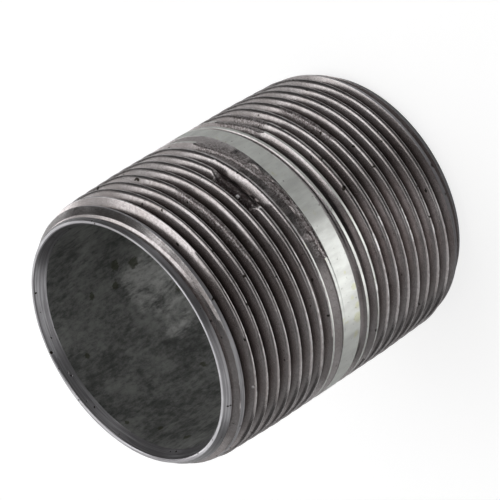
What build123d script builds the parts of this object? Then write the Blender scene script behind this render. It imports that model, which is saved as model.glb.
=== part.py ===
from build123d import *
import os
from math import atan, ceil, cos, degrees, radians, tan

os.makedirs("parts", exist_ok=True)

# Pipe nipple: a short steel pipe with a right-hand taper thread on each end
# and a narrow plain band between the two threads. It stands on its bottom end,
# axis on Z, with the origin at the centre of the bottom face.

# Pipe
length = 49.6
pipe_diameter = 42.16
wall = 3.556

# Taper thread
inch = 25.4
threads_per_inch = 11.5
radius_taper = 1 / 32
flank_angle = 30
height_in_pitches = 0.8
root_flat_in_pitches = 0.038

# Plain band between the threads, and how far its middle lies towards the top end.
# The threads take the rest of the length.
band_width = 3.0
band_shift = 0.43

# Run-out: the groove's floor rises to the pipe's surface on a cone of this angle to the axis
run_out_angle = 20

# Angle about Z at which each groove crosses its end face
top_groove_angle = 90
bottom_groove_angle = 25.2

# Ends: outer chamfer, lighter bevel over the first crests, flat ring, reamed mouth of the bore
end_chamfer_length = 2.05
end_chamfer_depth = 1.31
crest_bevel_length = 4.3
face_ring = 0.5
ream_length = 1.6

# Cutter: reach past the thread's crest, and turns that it runs past each end of the groove
cutter_overlap = 0.9
overrun_turns = 0.6

pitch = inch / threads_per_inch
thread_height = height_in_pitches * pitch
root_flat = root_flat_in_pitches * pitch

# Pitch diameter at the end face, by the usual rule for this taper thread
end_pitch_diameter = pipe_diameter - (0.05 * pipe_diameter / inch + 1.1) * pitch

pipe_radius = pipe_diameter / 2
bore_radius = pipe_radius - wall
root_radius_at_face = (end_pitch_diameter - thread_height) / 2
crest_radius_at_face = (end_pitch_diameter + thread_height) / 2
mouth_radius = root_radius_at_face - face_ring
chamfer_radius = root_radius_at_face + end_chamfer_depth
bevel_radius = crest_radius_at_face + crest_bevel_length * radius_taper
taper_end = (pipe_radius - crest_radius_at_face) / radius_taper
taper_angle = degrees(atan(radius_taper))
run_out_slope = tan(radians(run_out_angle))

top_thread_length = (length - band_width) / 2 - band_shift
bottom_thread_length = (length - band_width) / 2 + band_shift


# Groove cutter for one end. Its Z runs inwards from the end face, which it crosses at angle 0.
# The path has one piece for each turn, and the run-out cone is taken off the swept groove.
def thread_groove(thread_length):
    turns = ceil(thread_length / pitch + 2 * overrun_turns)
    end = thread_length + overrun_turns * pitch
    start = end - turns * pitch
    path = []
    for turn in range(turns):
        turn_start = start + turn * pitch
        path.append(Helix(
            pitch=pitch / cos(radians(taper_angle)),
            height=pitch,
            radius=root_radius_at_face + turn_start * radius_taper,
            center=(0, 0, turn_start),
            cone_angle=taper_angle,
        ))
    route = Wire(path)

    half_root = root_flat / 2
    half_mouth = half_root + thread_height * tan(radians(flank_angle))
    outer = thread_height + cutter_overlap
    cone_low = thread_length - (pipe_radius - root_radius_at_face) / run_out_slope
    cone_high = end + 2 * pitch
    section_plane = Plane(origin=route @ 0, x_dir=(1, 0, 0), z_dir=route % 0)
    with BuildPart() as groove:
        with BuildSketch(section_plane):
            with BuildLine():
                Polyline(
                    (0, -half_root),
                    (thread_height, -half_mouth),
                    (outer, -half_mouth),
                    (outer, half_mouth),
                    (thread_height, half_mouth),
                    (0, half_root),
                    close=True,
                )
            make_face()
        sweep(path=route, is_frenet=True)
        with BuildSketch(Plane.XZ):
            with BuildLine():
                Polyline(
                    (0, cone_low),
                    (root_radius_at_face, cone_low),
                    (pipe_radius, thread_length),
                    (pipe_radius + (cone_high - thread_length) * run_out_slope, cone_high),
                    (0, cone_high),
                    close=True,
                )
            make_face()
        revolve(axis=Axis.Z, mode=Mode.SUBTRACT)
    return Rot(0, 0, 360 * start / pitch) * groove.part


bottom_groove = Rot(0, 0, bottom_groove_angle) * thread_groove(bottom_thread_length)
top_groove = Pos(0, 0, length) * Rot(0, 0, top_groove_angle) * Rot(180, 0, 0) * thread_groove(top_thread_length)

# Nipple body: turned blank, then the two thread grooves
with BuildPart() as pipe_nipple:
    with BuildSketch(Plane.XZ) as half_section:
        with BuildLine():
            Polyline(
                (bore_radius, ream_length),
                (mouth_radius, 0),
                (root_radius_at_face, 0),
                (chamfer_radius, end_chamfer_length),
                (bevel_radius, crest_bevel_length),
                (pipe_radius, taper_end),
                (pipe_radius, length - taper_end),
                (bevel_radius, length - crest_bevel_length),
                (chamfer_radius, length - end_chamfer_length),
                (root_radius_at_face, length),
                (mouth_radius, length),
                (bore_radius, length - ream_length),
                close=True,
            )
        make_face()
    revolve(axis=Axis.Z)
    add(bottom_groove, mode=Mode.SUBTRACT)
    add(top_groove, mode=Mode.SUBTRACT)

pipe_nipple.part.label = "pipe_nipple"
export_step(pipe_nipple.part, "parts/pipe_nipple.step")
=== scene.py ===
from math import atan2, cos, pi, radians, sin, sqrt, tan

import bmesh
import bpy
from mathutils import Euler, Matrix, Vector, noise


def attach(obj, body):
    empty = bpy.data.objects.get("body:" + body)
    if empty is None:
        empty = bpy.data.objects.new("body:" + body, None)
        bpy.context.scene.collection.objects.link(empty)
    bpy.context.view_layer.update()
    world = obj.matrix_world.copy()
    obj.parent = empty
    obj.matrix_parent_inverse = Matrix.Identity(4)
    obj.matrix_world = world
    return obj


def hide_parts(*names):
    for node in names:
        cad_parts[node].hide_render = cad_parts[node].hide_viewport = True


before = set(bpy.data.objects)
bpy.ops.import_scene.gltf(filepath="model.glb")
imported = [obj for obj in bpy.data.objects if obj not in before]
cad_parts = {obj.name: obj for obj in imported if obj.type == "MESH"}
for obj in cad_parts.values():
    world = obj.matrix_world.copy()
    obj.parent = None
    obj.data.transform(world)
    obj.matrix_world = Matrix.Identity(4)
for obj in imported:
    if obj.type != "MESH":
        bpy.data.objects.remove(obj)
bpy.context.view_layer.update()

# Sizes of the nipple in millimetres, as the CAD part has them
mm = 0.001
length = 49.6
pipe_radius = 21.08
bore_radius = 17.524
face_ring = 0.5
ream_length = 1.6

pitch = 25.4 / 11.5
thread_height = 0.8 * pitch
half_root = 0.019 * pitch
radius_taper = 1 / 32
flank_slope = 1 / tan(radians(30))
root_radius_at_face = 18.892
crest_radius_at_face = root_radius_at_face + thread_height
chamfer_length = 2.05
chamfer_radius = root_radius_at_face + 1.31
bevel_length = 4.3
bevel_radius = crest_radius_at_face + bevel_length * radius_taper

# Where each thread's run-out meets the pipe's surface, from its own end face. Both dies were a little off
# centre, so it lies deeper on one side, by the lean, at the lean's angle.
run_out_slope = tan(radians(20))
bottom_run_out, bottom_lean, bottom_lean_angle = 23.65, 0.35, -80
top_run_out, top_lean, top_lean_angle = 22.6, 1.5, 100

# Groove centres at angle 0, in pitches above the bottom face, and the turns between which the strip of
# grooves passes from the bottom thread's count to the top thread's
bottom_phase = 0.68
top_phase = 0.957
phase_change = (10.47, 10.74)
band_middle = 25.23

# The edge between each end ring and its ream is rounded by this much
mouth_round = 0.16

# The first whole crest of each thread is lower on the side of the end face, at these depths of its groove
first_shoulder = 0.14
first_groove_depths = (0.3, 1.6)

# Worn crests: mean loss of height, and the long and short waves in it
crest_wear, long_wear, short_wear = 0.014, 0.016, 0.012

# Torn crests: number of the crest in the strip, first and last angle, depth, extra depth on the near side,
# raggedness
torn_crests = [
    (16, 1, 45, 0.20, 0, 0.65),
    (13, 16, 43, 0.95, 0, 1.0),
    (12, 29, 47, 0.08, 0.28, 0.1),
    (11, 9, 64, 0.34, 0, 0.5),
    (11, -14, 10, 0.22, 0, 0.7),
    (8, 44, 72, 0.24, 0, 0.6),
    (7, 47, 70, 0.15, 0, 0.6),
    (5, 23, 55, 0.14, 0, 0.55),
]

# Angles in degrees over which a torn place starts and ends, and how rough its raw face is, inwards and along
tear_start, tear_end = 4, 5
raw_depth, raw_shift = 0.10, 0.08

# Mesh: columns round the pipe, and rows across one groove and the crest above it
columns = 360
sectors = 12
flank_rows = (0.28, 0.52, 0.78)
rows = 2 * (len(flank_rows) + 2) + 1
first_turn = -2
turns = 24

# Between the threads the rows fill this share of a pitch, and settle into that over this share of a pitch
plain_rows_share = 0.84
plain_rows_start = 0.3

# Mesh: least gap between rows, reach within which a row follows an edge of the blank or lies on an end
# face, and gaps that are merged
least_gap = 0.004
edge_reach = 0.5
face_reach = 0.02
sector_gap = 0.01
seam_gap = 0.0005

# Skin of the blank: how far below it a point still counts as on it, the depth from which it is the band,
# and how far before the bevel's end the turned steel stops
skin = 0.06
band_from = 20
steel_stop = 0.3

# Bends in degrees from which an edge is sharp: at the turned ends, beside the band, and on ridges and
# valleys anywhere else
end_bend, band_bend, ridge_bend, valley_bend = 12, 8, 75, 35


# Shader writing


class Value:
    """A socket that adds Math nodes when it is used in an expression."""

    def __init__(self, sheet, socket):
        self.sheet = sheet
        self.socket = socket

    def maths(self, operation, *others):
        given = {0: self}
        for place, other in enumerate(others, 1):
            given[place] = other
        return self.sheet.node("ShaderNodeMath", {"operation": operation}, given)

    def __add__(self, other):
        return self.maths("ADD", other)

    def __radd__(self, other):
        return self.maths("ADD", other)

    def __sub__(self, other):
        return self.maths("SUBTRACT", other)

    def __rsub__(self, other):
        return self.maths("MULTIPLY_ADD", -1.0, other)

    def __mul__(self, other):
        return self.maths("MULTIPLY", other)

    def __rmul__(self, other):
        return self.maths("MULTIPLY", other)

    def larger(self, other):
        return self.maths("MAXIMUM", other)

    def step(self, low, high):
        """0 below low, 1 above high, and a smooth rise between them."""
        return self.sheet.node(
            "ShaderNodeMapRange",
            {"interpolation_type": "SMOOTHSTEP"},
            {"Value": self, "From Min": low, "From Max": high},
        )


class Sheet:
    """The nodes of one material, or of the world when its tree is given."""

    def __init__(self, name, tree=None):
        if tree is None:
            self.material = bpy.data.materials.new(name)
            self.material.use_nodes = True
            tree = self.material.node_tree
        self.tree = tree
        self.tree.nodes.clear()

    def node(self, kind, settings=None, given=None, out=0):
        """Any node: its type, its settings, the values or links of its sockets, and which output is used."""
        made = self.tree.nodes.new(kind)
        for name, value in (settings or {}).items():
            setattr(made, name, value)
        for name, value in (given or {}).items():
            if isinstance(value, Value):
                self.tree.links.new(value.socket, made.inputs[name])
            else:
                made.inputs[name].default_value = value
        return Value(self, made.outputs[out])

    def mix(self, share, low, high):
        return self.node(
            "ShaderNodeMix",
            {"data_type": "RGBA"},
            {0: share, 6: low, 7: high},
            out=2,
        )

    def place(self, scale=(1, 1, 1)):
        """Object coordinates in millimetres, stretched by scale."""
        coordinates = self.node("ShaderNodeTexCoord", out=3)
        sizes = tuple(s / mm for s in scale)
        return self.node("ShaderNodeMapping", None, {"Vector": coordinates, "Scale": sizes})

    def noise(self, place, scale, detail=3.0, roughness=0.55, distortion=0.0):
        return self.node(
            "ShaderNodeTexNoise",
            None,
            {
                "Vector": place,
                "Scale": scale,
                "Detail": detail,
                "Roughness": roughness,
                "Distortion": distortion,
            },
        )

    def attribute(self, name):
        return self.node("ShaderNodeAttribute", {"attribute_name": name}, out=2)

    def spot(self, place, centre, size, waves):
        """1 in a round spot with an uneven edge, and 0 outside it."""
        gap = self.node("ShaderNodeVectorMath", {"operation": "DISTANCE"}, {0: place, 1: centre}, out=1)
        return 1 - (gap + (waves - 0.5) * size * 2.5).step(size * 0.7, size * 1.2)

    def spots(self, place, marks, waves):
        """The same for a list of (centre, size)."""
        first, *others = [self.spot(place, centre, size, waves) for centre, size in marks]
        for other in others:
            first = first.larger(other)
        return first

    def bump(self, height, strength, distance):
        given = {"Height": height, "Strength": strength, "Distance": distance}
        return self.node("ShaderNodeBump", None, given)

    def surface(self, **given):
        shader = self.node("ShaderNodeBsdfPrincipled", None, given)
        self.end(shader)
        return self.material

    def end(self, shader, kind="ShaderNodeOutputMaterial"):
        output = self.tree.nodes.new(kind)
        self.tree.links.new(shader.socket, output.inputs["Surface"])


# Shape, in millimetres until it is scaled at the end


def blank_radius(depth):
    """Radius of the turned blank at that depth from the end face."""
    if depth < chamfer_length:
        return root_radius_at_face + (chamfer_radius - root_radius_at_face) * depth / chamfer_length
    if depth < bevel_length:
        share = (depth - chamfer_length) / (bevel_length - chamfer_length)
        return chamfer_radius + (bevel_radius - chamfer_radius) * share
    return min(pipe_radius, crest_radius_at_face + depth * radius_taper)


def smooth(low, high, value):
    """0 below low, 1 above high, and a smooth rise between them."""
    share = min(1, max(0, (value - low) / (high - low)))
    return share * share * (3 - 2 * share)


def groove_centre(turn):
    """Height of a groove's centre after that many turns."""
    share = smooth(phase_change[0], phase_change[1], turn)
    return pitch * (turn + bottom_phase + (top_phase - bottom_phase) * share)


def run_out_end(turn, is_top):
    """Depth at which the run-out cone meets the pipe's surface."""
    angle = 2 * pi * turn
    if is_top:
        return top_run_out + top_lean * max(0, cos(angle - radians(top_lean_angle))) ** 1.5
    return bottom_run_out + bottom_lean * sqrt(max(0, cos(angle - radians(bottom_lean_angle))))


def tear(turn):
    """(depth, extra depth on the near side, raggedness) of the damage to the crest at that turn of the strip."""
    depth = slant = ragged = 0
    for crest, start, end, deep, lean, rough in torn_crests:
        angle = (turn - crest) * 360
        if start < angle < end:
            share = smooth(start, start + tear_start, angle) * (1 - smooth(end - tear_end, end, angle))
            long_waves = noise.noise((turn * 90, crest, 0))
            short_waves = noise.noise((turn * 260, crest, 5))
            waves = 0.5 + 0.5 * long_waves + 0.35 * short_waves
            depth = max(depth, deep * share * (0.75 + 0.5 * waves * rough))
            slant = max(slant, lean * min(1, 3 * share) * (0.6 + 0.8 * waves))
            ragged = max(ragged, rough * share)
    return depth, slant, ragged


def crest_loss(turn):
    """How much lower the crest is than the turned blank there: wear everywhere, and the torn places."""
    long_waves = noise.noise((turn * 30, 3, 0))
    short_waves = noise.noise((turn * 110, 9, 0))
    worn = crest_wear + long_wear * long_waves + short_wear * short_waves
    return max(0.0, worn) + tear(turn)[0]


def flank_meets(radius, start, blank):
    """Distance from a groove's centre at which its flank meets the blank. blank gives the radius at a distance."""
    reach = start
    for _ in range(10):
        reach = start + (blank(reach) - radius) / flank_slope
    return max(reach, start * 0.5)


def between(first, last, shares):
    """Points on the line from first to last, at those shares of it."""
    return [tuple(a + (b - a) * share for a, b in zip(first, last)) for share in shares]


def groove_rows(turn):
    """(height, radius, depth share) of the rows across one groove, from its lower crest to its upper one."""
    centre = groove_centre(turn)
    is_top = centre > band_middle
    depth = length - centre if is_top else centre
    end = run_out_end(turn, is_top)
    root = root_radius_at_face + depth * radius_taper
    outer_loss, inner_loss = (crest_loss(turn - 1) + tear(turn - 1)[1], crest_loss(turn))
    if is_top:
        outer_loss, inner_loss = inner_loss, outer_loss
    if first_groove_depths[0] < depth < first_groove_depths[1]:
        inner_loss += first_shoulder

    def outer_blank(reach):
        return blank_radius(max(0, depth - reach)) - outer_loss

    def inner_blank(reach):
        return blank_radius(max(0, depth + reach)) - inner_loss

    def throat(at):
        return pipe_radius - (end - at) * run_out_slope

    outer_edge = depth - flank_meets(root, half_root, outer_blank)
    inner_edge = depth + flank_meets(root, half_root, inner_blank)
    if outer_edge < end:
        on_cone = (root + (depth - half_root) * flank_slope - throat(0)) / (flank_slope + run_out_slope)
        outer_foot = max(outer_edge, min(depth - half_root, on_cone))
        on_cone = (throat(0) - root + (depth + half_root) * flank_slope) / (flank_slope - run_out_slope)
        inner_foot = max(depth + half_root, on_cone, outer_foot)
        inner_edge = min(inner_edge, end)
        inner_foot = min(inner_foot, inner_edge)
        outer = (outer_edge, outer_blank(depth - outer_edge))
        foot = (outer_foot, max(root, throat(outer_foot)))
        heel = (inner_foot, max(root, throat(inner_foot)))
        inner = (inner_edge, inner_blank(inner_edge - depth))
        row = [outer, *between(outer, foot, flank_rows), foot]
        row += [heel, *between(inner, heel, reversed(flank_rows)), inner]
    else:
        count = rows - 1
        spread = smooth(0, plain_rows_start * pitch, outer_edge - end)
        row = []
        for place in range(count):
            even = depth + pitch * (place / (count - 1) - 0.5) * plain_rows_share
            row.append((outer_edge + (even - outer_edge) * spread, pipe_radius))
    for place in range(1, len(row)):
        if row[place][0] < row[place - 1][0] + least_gap:
            row[place] = (row[place - 1][0] + least_gap, row[place][1])
    row = [(at, min(radius, blank_radius(max(0, at)))) for at, radius in row]
    row = [(at, radius, (blank_radius(max(0, at)) - radius) / thread_height) for at, radius in row]
    if is_top:
        row = [(length - at, radius, share) for at, radius, share in reversed(row)]
    return row


def crest_row(below, above):
    """The row on a crest, between the rows at its sides. It follows the blank's edges where they cross the crest,
    and is in the middle elsewhere."""
    low, high = below[0] + least_gap, above[0] - least_gap
    if high <= low:
        high = low
    middle = (low + high) / 2
    edges = [chamfer_length, bevel_length, length - bevel_length, length - chamfer_length]
    nearest = min(edges, key=lambda edge: max(low - edge, edge - high))
    outside = max(low - nearest, nearest - high)
    at = min(high, max(low, nearest))
    at += (middle - at) * smooth(0, edge_reach, outside)
    lost = max(0, min(below[2], above[2])) * thread_height
    return at, blank_radius(max(0, min(at, length - at))) - lost, lost / thread_height


def spin_round(bm, rise=0):
    """Spins the bmesh's line once round the axis, rising by that much: one sector first, then copies of it."""
    bmesh.ops.spin(
        bm,
        geom=bm.verts[:] + bm.edges[:],
        cent=(0, 0, 0),
        axis=(0, 0, 1),
        dvec=(0, 0, rise / columns),
        angle=2 * pi / sectors,
        steps=columns // sectors,
        use_merge=False,
    )
    bmesh.ops.spin(
        bm,
        geom=bm.verts[:] + bm.edges[:] + bm.faces[:],
        cent=(0, 0, 0),
        axis=(0, 0, 1),
        dvec=(0, 0, rise / sectors),
        angle=2 * pi * (sectors - 1) / sectors,
        steps=sectors - 1,
        use_duplicate=True,
    )
    bmesh.ops.remove_doubles(bm, verts=bm.verts, dist=sector_gap)


def threaded_surface():
    """Outside of the nipple: a helical sheet of rows, then each row set on its groove or crest."""
    bm = bmesh.new()
    low = bm.verts.new((0, -pipe_radius, first_turn * pitch))
    high = bm.verts.new((0, -pipe_radius, (first_turn + turns) * pitch))
    edge = bm.edges.new((low, high))
    bmesh.ops.subdivide_edges(bm, edges=[edge], cuts=turns * rows - 1)
    spin_round(bm, pitch)
    across = {}

    def section(turn, column):
        if (turn, column) not in across:
            across[turn, column] = groove_rows(turn + column / columns)
        return across[turn, column]

    valley = bm.verts.layers.float.new("valley")
    torn = bm.verts.layers.float.new("torn")
    for vert in bm.verts:
        column = round(atan2(vert.co.x, -vert.co.y) / (2 * pi) * columns) % columns
        total = round((vert.co.z / pitch - column / columns) * rows)
        turn, row = total // rows, total % rows
        if row < rows - 1:
            height, radius, share = section(turn, column)[row]
        else:
            height, radius, share = crest_row(section(turn, column)[-1], section(turn + 1, column)[0])
        crest = turn + column / columns - (1 if row < rows // 2 else 0)
        depth, _, ragged = tear(crest)
        ragged *= max(0, 1 - 1.1 * max(0, share - depth / thread_height))
        if ragged > 0:
            where = Vector((crest * 150, row * 0.9, 0))
            radius -= ragged * raw_depth * (0.6 + noise.noise(where))
            height += ragged * raw_shift * noise.noise(where + Vector((0, 0, 7)))
        if height < face_reach:
            height, radius, share = 0, root_radius_at_face, 0
        if height > length - face_reach:
            height, radius, share = length, root_radius_at_face, 0
        angle = 2 * pi * column / columns
        vert.co = (radius * sin(angle), -radius * cos(angle), height)
        vert[valley] = share
        vert[torn] = ragged
    bmesh.ops.remove_doubles(bm, verts=bm.verts, dist=seam_gap)
    return bm


def bore_surface():
    """End rings, reams and bore: one profile spun round the axis, on the columns of the outside."""
    mouth = root_radius_at_face - face_ring
    round_depth = mouth_round * 0.7
    profile = [
        (root_radius_at_face, 0),
        (mouth + mouth_round, 0),
        (mouth, round_depth),
        (bore_radius, ream_length),
        (bore_radius, length - ream_length),
        (mouth, length - round_depth),
        (mouth + mouth_round, length),
        (root_radius_at_face, length),
    ]
    bm = bmesh.new()
    verts = [bm.verts.new((0, -radius, height)) for radius, height in profile]
    edges = [bm.edges.new(pair) for pair in zip(verts, verts[1:])]
    bore_wall = edges[3]
    bmesh.ops.subdivide_edges(bm, edges=[bore_wall], cuts=11)
    spin_round(bm)
    return bm


def join(bm, other):
    """Adds another bmesh to this one, and closes the seams between them."""
    carrier = bpy.data.meshes.new("carrier")
    other.to_mesh(carrier)
    other.free()
    bm.from_mesh(carrier)
    bpy.data.meshes.remove(carrier)
    bmesh.ops.remove_doubles(bm, verts=bm.verts, dist=seam_gap)


def below_blank(point):
    """How far a point of the outside lies below the turned blank."""
    depth = max(0, min(point.z, length - point.z))
    return blank_radius(depth) - sqrt(point.x**2 + point.y**2)


def finish_of(corners):
    """Place in the nipple's list of finishes for a face: 0 thread, 1 turned ends, 2 band, 3 bore."""
    radii = [sqrt(corner.x**2 + corner.y**2) for corner in corners]
    depth = sum(min(corner.z, length - corner.z) for corner in corners) / len(corners)
    if max(radii) < bore_radius + 0.05:
        return 3
    if max(radii) < root_radius_at_face + 0.01 and depth < ream_length:
        return 1
    if max(below_blank(corner) for corner in corners) < skin:
        if depth < bevel_length - steel_stop:
            return 1
        if depth > band_from:
            return 2
    return 0


def sharp_limit(edge):
    """Bend in degrees from which an edge is sharp. It is small at the turned ends and at the sides of the band."""
    depths = [min(vert.co.z, length - vert.co.z) for vert in edge.verts]
    if max(depths) < bevel_length:
        return end_bend
    if min(depths) > band_from and max(below_blank(vert.co) for vert in edge.verts) < skin:
        return band_bend
    return ridge_bend if edge.is_convex else valley_bend


def build_nipple():
    bm = threaded_surface()
    join(bm, bore_surface())
    bmesh.ops.recalc_face_normals(bm, faces=bm.faces)
    for edge in bm.edges:
        if len(edge.link_faces) == 2:
            edge.smooth = edge.calc_face_angle(0) < radians(sharp_limit(edge))
    bmesh.ops.scale(bm, vec=(mm, mm, mm), verts=bm.verts)
    mesh = bpy.data.meshes.new("nipple")
    bm.to_mesh(mesh)
    bm.free()
    for polygon in mesh.polygons:
        polygon.use_smooth = True
        polygon.material_index = finish_of([mesh.vertices[place].co / mm for place in polygon.vertices])
    piece = bpy.data.objects.new("nipple", mesh)
    bpy.context.scene.collection.objects.link(piece)
    return piece


# Finishes


def on_pipe(angle, radius, height):
    """Point at that angle round the pipe. Angle 0 is on the camera's side, 90 towards +X."""
    return radius * sin(radians(angle)), -radius * cos(radians(angle)), height


# Painted glints on the threads, small white spots: angle, radius, height, size
painted_glints = [(26.7, 20.1, 32.75, 0.3), (16.8, 20.8, 32.0, 0.25), (-45, 20.4, 45.3, 0.2)]

# Painted highlights, short white dashes on the bottom thread's crests: angle, number of the crest, size
painted_crest_glints = [(-16, 4, 1.3), (-24, 4, 0.9), (-19, 7, 1.2), (-27, 2, 0.8), (-12, 6, 0.8), (-34, 8, 0.9)]
crest_glint_radius = 20.9

# Yellow-green stains on the band: angle, height, size
band_stains = [
    (-29, 24.3, 0.5), (-33, 25.0, 0.5), (-37, 24.2, 0.6), (-43, 24.4, 0.8), (-50, 24.8, 0.6), (-22, 25.2, 0.3),
]

# Painted pool of light, a paler patch on the bore's wall: angle, height, size
painted_light_patch = (160, 27, 6.5)

# Olive stains in the bore: angle, height, size
bore_stains = [
    (144, 34.6, 0.8), (148, 31.2, 0.9), (153, 35.4, 0.6), (152, 40.0, 0.5), (171, 24.6, 0.9), (176, 44.8, 0.4),
    (-146, 47.0, 0.4), (-132, 44.5, 0.4), (-114, 44.5, 0.5), (-150, 30.0, 0.5), (-138, 27.0, 0.6),
]

# Colours
cut_steel = (0.42, 0.395, 0.395, 1)
dull_steel = (0.34, 0.31, 0.305, 1)
steel_grain = (0.16, 0.14, 0.135, 1)
# Painted shade for the bottoms of the grooves
painted_groove_shade = (0.06, 0.045, 0.04, 1)
scuff_dark = (0.07, 0.052, 0.05, 1)
scuff_bright = (0.62, 0.585, 0.58, 1)
break_dark = (0.03, 0.02, 0.02, 1)
break_bright = (0.5, 0.47, 0.46, 1)
# Crests lighter from wear and from a painted highlight
rubbed_crest_and_highlight = (0.56, 0.54, 0.54, 1)
# White of the painted glints
glint_white = (1.0, 0.98, 0.98, 1)
pit_dark = (0.03, 0.025, 0.02, 1)
turned_steel = (0.50, 0.50, 0.52, 1)
turned_dull = (0.34, 0.33, 0.34, 1)
turned_ring = (0.20, 0.19, 0.20, 1)
band_pale = (0.645, 0.66, 0.63, 1)
band_grey = (0.51, 0.515, 0.495, 1)
band_stain = (0.52, 0.52, 0.30, 1)
band_speck = (0.10, 0.095, 0.085, 1)
bore_dark = (0.12, 0.123, 0.12, 1)
bore_grey = (0.44, 0.445, 0.43, 1)
# Pale colour of the painted pool of light in the bore
bore_painted_light = (0.90, 0.90, 0.88, 1)
bore_stain = (0.075, 0.08, 0.04, 1)


def turned_lines(sheet, fineness):
    """Fine rings left by cutting: noise that changes fast along the axis and slowly round it."""
    return sheet.noise(sheet.place((0.06, 0.06, fineness)), 1.0, 3.0, 0.7)


def thread_steel():
    """Cut and oiled thread steel, with painted shade down in the grooves, rubbed crests lightened partly by wear
    and partly by a painted highlight, painted glints, and a raw face where a crest is torn.
    """
    sheet = Sheet("thread_steel")
    place = sheet.place()
    valley = sheet.attribute("valley")
    torn = sheet.attribute("torn")
    scuffed, broken = torn.step(0.05, 0.5), torn.step(0.6, 0.95)
    patches = sheet.noise(place, 0.18, 4.0, 0.6)
    grain = sheet.noise(place, 2.6, 4.0, 0.7)
    fine = sheet.noise(place, 4.5, 3.0, 0.7)
    chatter = sheet.noise(sheet.place((1.2, 1.2, 0.15)), 1.0, 2.0, 0.6)
    lines = turned_lines(sheet, 7.0)
    crest = 1 - valley.step(0.0, 0.07)
    colour = sheet.mix(patches.step(0.35, 0.7), cut_steel, dull_steel)
    colour = sheet.mix(grain.step(0.35, 0.75) * 0.45, colour, steel_grain)
    # Painted shade: darker towards the bottom of each groove
    groove_shade = valley.step(0.22, 0.9) * (0.65 + grain * 0.4)
    colour = sheet.mix(groove_shade, colour, painted_groove_shade)
    crumbs = (fine * 0.6 + grain * 0.4).step(0.44, 0.62)
    colour = sheet.mix(scuffed * 0.75, colour, sheet.mix(crumbs, scuff_dark, scuff_bright))
    colour = sheet.mix(broken * 0.75, colour, sheet.mix(grain.step(0.6, 0.7), break_dark, break_bright))
    # Crests lighter, partly from wear and partly a painted highlight, broken up by the chatter
    colour = sheet.mix(crest * (1 - scuffed) * chatter.step(0.35, 0.65), colour, rubbed_crest_and_highlight)
    pits = sheet.noise(place, 0.9, 1.0).step(0.74, 0.76)
    colour = sheet.mix(pits, colour, pit_dark)
    # Painted glints: small white spots, and white dashes on the crests
    glint_marks = [(on_pipe(*spot), size) for *spot, size in painted_glints]
    crest_glint_marks = [
        (on_pipe(angle, crest_glint_radius, pitch * (number + angle / 360 + 0.5 + bottom_phase)), size)
        for angle, number, size in painted_crest_glints
    ]
    glint_share = sheet.spots(place, glint_marks, grain).larger(sheet.spots(place, crest_glint_marks, grain) * crest)
    colour = sheet.mix(glint_share, colour, glint_white)
    rough = 0.2 + patches * 0.08 + scuffed * 0.15 + (grain - 0.5) * 0.16 + glint_share * 0.3
    relief = lines * 0.5 + chatter * 0.6 + grain * (0.3 + scuffed * 2.0) + fine * scuffed * 2.0
    normal = sheet.bump(relief, 0.35, 0.03 * mm)
    return sheet.surface(**{"Base Color": colour, "Metallic": 1.0, "Roughness": rough, "Normal": normal})


def end_steel():
    """Turned steel of the chamfers, flat end rings and reams."""
    sheet = Sheet("end_steel")
    place = sheet.place()
    lines = turned_lines(sheet, 4.0)
    patches = sheet.noise(place, 0.35, 4.0, 0.6)
    pits = sheet.noise(place, 1.1, 1.0).step(0.71, 0.74)
    colour = sheet.mix(patches, turned_steel, turned_dull)
    rings = lines.step(0.40, 0.58)
    colour = sheet.mix(rings * 0.65, colour, turned_ring)
    colour = sheet.mix(pits, colour, pit_dark)
    rough = 0.26 + patches * 0.12
    normal = sheet.bump(lines - pits, 0.5, 0.08 * mm)
    return sheet.surface(**{"Base Color": colour, "Metallic": 1.0, "Roughness": rough, "Normal": normal})


def band_zinc():
    """Galvanised skin of the plain band: pale, soft, with yellow-green stains and dark specks."""
    sheet = Sheet("band_zinc")
    place = sheet.place()
    cloud = sheet.noise(place, 0.22, 5.0, 0.6)
    streak = sheet.noise(sheet.place((0.35, 0.35, 0.12)), 1.6, 4.0, 0.65)
    specks = sheet.noise(place, 2.2, 2.0, 0.5).step(0.70, 0.74)
    colour = sheet.mix(streak.step(0.3, 0.7), band_pale, band_grey)
    marks = [(on_pipe(angle, pipe_radius, height), size) for angle, height, size in band_stains]
    stain = sheet.noise(place, 0.45, 3.0, 0.7, 0.6).step(0.60, 0.72)
    stain = stain.larger(sheet.spots(place, marks, streak))
    colour = sheet.mix(stain * 0.5, colour, band_stain)
    colour = sheet.mix(specks * 0.8, colour, band_speck)
    rough = 0.34 + cloud * 0.16
    normal = sheet.bump(cloud + streak * 0.5, 0.25, 0.08 * mm)
    return sheet.surface(**{"Base Color": colour, "Metallic": 0.9, "Roughness": rough, "Normal": normal})


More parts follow.
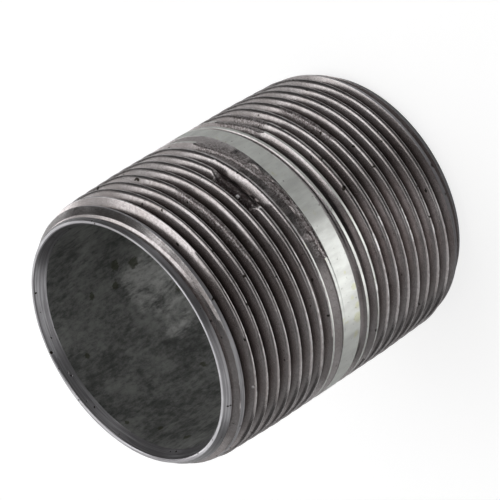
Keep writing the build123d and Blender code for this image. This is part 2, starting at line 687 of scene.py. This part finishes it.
def bore_zinc():
    """Galvanised skin inside the bore: dark, mottled and streaked, with a painted pool of light as a paler patch,
    and olive-brown spots.
    """
    sheet = Sheet("bore_zinc")
    place = sheet.place()
    cloud = sheet.noise(place, 0.16, 5.0, 0.62)
    grain = sheet.noise(sheet.place((1, 1, 0.5)), 1.5, 5.0, 0.75)
    streak = sheet.noise(sheet.place((0.6, 0.6, 0.16)), 1.0, 5.0, 0.7, 0.4)
    tone = cloud * 0.35 + grain * 0.4 + streak * 0.25
    colour = sheet.mix(tone.step(0.38, 0.64), bore_dark, bore_grey)
    # Painted pool of light: a paler patch on the wall, broken up by the streaks
    angle, height, size = painted_light_patch
    pale = sheet.spot(place, on_pipe(angle, bore_radius, height), size, cloud)
    pale = pale * (streak * 0.7 + grain * 0.3).step(0.36, 0.62)
    colour = sheet.mix(pale * 0.7, colour, bore_painted_light)
    marks = [(on_pipe(angle, bore_radius, height), size) for angle, height, size in bore_stains]
    stains = grain.step(0.66, 0.74).larger(sheet.spots(place, marks, grain)) * 0.7
    colour = sheet.mix(stains, colour, bore_stain)
    rough = 0.42 + cloud * 0.2
    normal = sheet.bump(cloud + streak + grain * 0.5, 0.5, 0.15 * mm)
    return sheet.surface(**{"Base Color": colour, "Metallic": 0.6, "Roughness": rough, "Normal": normal})


# Studio, in metres

# Soft lamps: name, azimuth, elevation, distance, width, height, glow
lamps = [
    ("left_box_high", 86, 61, 0.5, 0.50, 0.41, 2.1),
    ("left_box_low", 136, 28, 0.5, 0.34, 0.30, 0.7),
    ("left_edge_box", 158, 16, 0.5, 0.26, 0.20, 2.2),
    ("front_box", -10, 57, 0.5, 0.55, 0.10, 1.1),
    ("right_box", -66, 16, 0.45, 0.70, 0.26, 0.75),
    ("right_fill", -112, 52, 0.5, 0.50, 0.42, 0.22),
    ("right_edge_box", -152, 17, 0.5, 0.30, 0.22, 0.6),
    ("back_box", 180, 40, 0.6, 0.30, 0.25, 1.6),
]

# Lamps that lie on the floor, face up. The one in the bore stands for the light that comes in through the
# open end. The one before the pipe, at the right of the view, is the bright floor that the band reflects.
lamp_lift = 0.0005
bore_lamp_size = 2 * (bore_radius - 1) * mm
bore_lamp_glow = 0.4
floor_lamp_size = (0.062, 0.036)
floor_lamp_place = (-0.0325, -0.0455)
floor_lamp_turn = -28
floor_lamp_glow = 1.7

# Floor: its paint, the share of it that the camera sees near the pipe, how bright the open paint is there,
# and the distances between which the floor passes to plain white
floor_paint = (0.65, 0.65, 0.65, 1)
paint_share = 0.5
open_paint = 0.40
white_from, white_to = 0.25, 0.6
floor_half_size = 3
floor_drop = 0.00002

# Light of the world, and how much of the white floor and white world metal reflects
white = (1, 1, 1, 1)
world_light = (0.04, 0.04, 0.04, 1)
floor_in_metal = 0.1
world_in_metal = 0.03

# Camera: tilt off the pipe's axis, roll, lens and sensor, and its distance from the middle of the top face in
# millimetres, along the view and across it
view_tilt = radians(54.09)
view_roll = radians(122.05)
view_lens = 263.4
view_sensor = 36
view_away, view_right, view_up = 511.6, 17.41, 13.00


def seen_as_backdrop(sheet, metal_share, camera_share=1.0):
    """Share of white in what the camera sees, itself or through a clear thing, and in what metal reflects."""
    path = sheet.node("ShaderNodeLightPath")
    camera, glossy, through = [
        Value(sheet, path.socket.node.outputs[ray])
        for ray in ("Is Camera Ray", "Is Glossy Ray", "Is Transmission Ray")
    ]
    return (camera.larger(through) * camera_share).larger(glossy * metal_share)


def floor_finish():
    """Pale paint that shows the pipe's shadow, with a glow that makes it up to white for the camera."""
    sheet = Sheet("pale_floor")
    glow = (1 - paint_share * open_paint) / (1 - paint_share)
    paint = sheet.node("ShaderNodeBsdfDiffuse", None, {"Color": floor_paint})
    lit = sheet.node("ShaderNodeEmission", None, {"Color": white, "Strength": glow})
    place = sheet.node("ShaderNodeTexCoord", out=3)
    gap = sheet.node("ShaderNodeVectorMath", {"operation": "LENGTH"}, {0: place}, out=1)
    near = 1 - gap.step(white_from, white_to)
    seen = seen_as_backdrop(sheet, floor_in_metal / glow, 1 - near * paint_share)
    mixed = sheet.node("ShaderNodeMixShader", None, {0: seen, 1: paint, 2: lit})
    sheet.end(mixed)
    return sheet.material


def make_floor():
    bm = bmesh.new()
    bmesh.ops.create_grid(bm, x_segments=4, y_segments=4, size=floor_half_size)
    mesh = bpy.data.meshes.new("floor")
    bm.to_mesh(mesh)
    bm.free()
    floor = bpy.data.objects.new("floor", mesh)
    floor.location = (0, 0, -floor_drop)
    mesh.materials.append(floor_finish())
    bpy.context.scene.collection.objects.link(floor)


def make_world():
    """White backdrop for the camera. Metal shows a little of it, and the light on the object stays low."""
    world = bpy.data.worlds.new("studio")
    bpy.context.scene.world = world
    world.use_nodes = True
    sheet = Sheet("studio", world.node_tree)
    seen = seen_as_backdrop(sheet, world_in_metal)
    dim = sheet.node("ShaderNodeBackground", None, {"Color": world_light})
    lit = sheet.node("ShaderNodeBackground", None, {"Color": white})
    mixed = sheet.node("ShaderNodeMixShader", None, {0: seen, 1: dim, 2: lit})
    sheet.end(mixed, "ShaderNodeOutputWorld")


def area_lamp(name, shape, size, size_y, glow, place, facing):
    """A lamp that only its light and its reflections show. A glow of 1 is white."""
    lamp = bpy.data.lights.new(name, "AREA")
    lamp.shape = shape
    lamp.size, lamp.size_y = size, size_y
    area = size * size_y * (pi / 4 if shape == "DISK" else 1)
    lamp.energy = glow * pi * area
    holder = bpy.data.objects.new(name, lamp)
    holder.rotation_mode = "QUATERNION"
    holder.rotation_quaternion = facing
    holder.location = place
    holder.visible_camera = False
    bpy.context.scene.collection.objects.link(holder)


def soft_box(name, azimuth, elevation, distance, width, height, glow):
    """A soft lamp aimed at the nipple's middle. Azimuth 0 is on the camera's side, 90 towards +X."""
    a, e = radians(azimuth), radians(elevation)
    away = Vector((sin(a) * cos(e), -cos(a) * cos(e), sin(e)))
    place = away * distance + Vector((0, 0, length / 2 * mm))
    area_lamp(name, "RECTANGLE", width, height, glow, place, away.to_track_quat("Z", "Y"))


def make_lamps():
    for lamp in lamps:
        soft_box(*lamp)
    face_up = Euler((pi, 0, 0)).to_quaternion()
    area_lamp("bore_box", "DISK", bore_lamp_size, bore_lamp_size, bore_lamp_glow, (0, 0, lamp_lift), face_up)
    place = (*floor_lamp_place, lamp_lift)
    face_up = Euler((pi, 0, radians(floor_lamp_turn))).to_quaternion()
    area_lamp("floor_box", "RECTANGLE", *floor_lamp_size, floor_lamp_glow, place, face_up)


def make_camera():
    """The photograph's view: 54 degrees off the pipe's axis, rolled so that the top end is at the lower left."""
    away = Vector((0, sin(view_tilt), -cos(view_tilt)))
    level = Vector((1, 0, 0))
    fall = away.cross(level)
    right = cos(view_roll) * level + sin(view_roll) * fall
    down = away.cross(right)
    lens = bpy.data.cameras.new("camera")
    lens.lens = view_lens
    lens.sensor_width = view_sensor
    lens.clip_start, lens.clip_end = 0.01, 20
    top_centre = Vector((0, 0, length))
    spot = (top_centre + view_right * right - view_up * down - view_away * away) * mm
    camera = bpy.data.objects.new("camera", lens)
    camera.matrix_world = Matrix.Translation(spot) @ Matrix((right, -down, -away)).transposed().to_4x4()
    bpy.context.scene.collection.objects.link(camera)
    bpy.context.scene.camera = camera


nipple = build_nipple()
for finish in (thread_steel(), end_steel(), band_zinc(), bore_zinc()):
    nipple.data.materials.append(finish)
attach(nipple, "root")
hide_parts("pipe_nipple")

make_floor()
make_world()
make_lamps()
make_camera()

bpy.context.scene.view_settings.view_transform = "Standard"
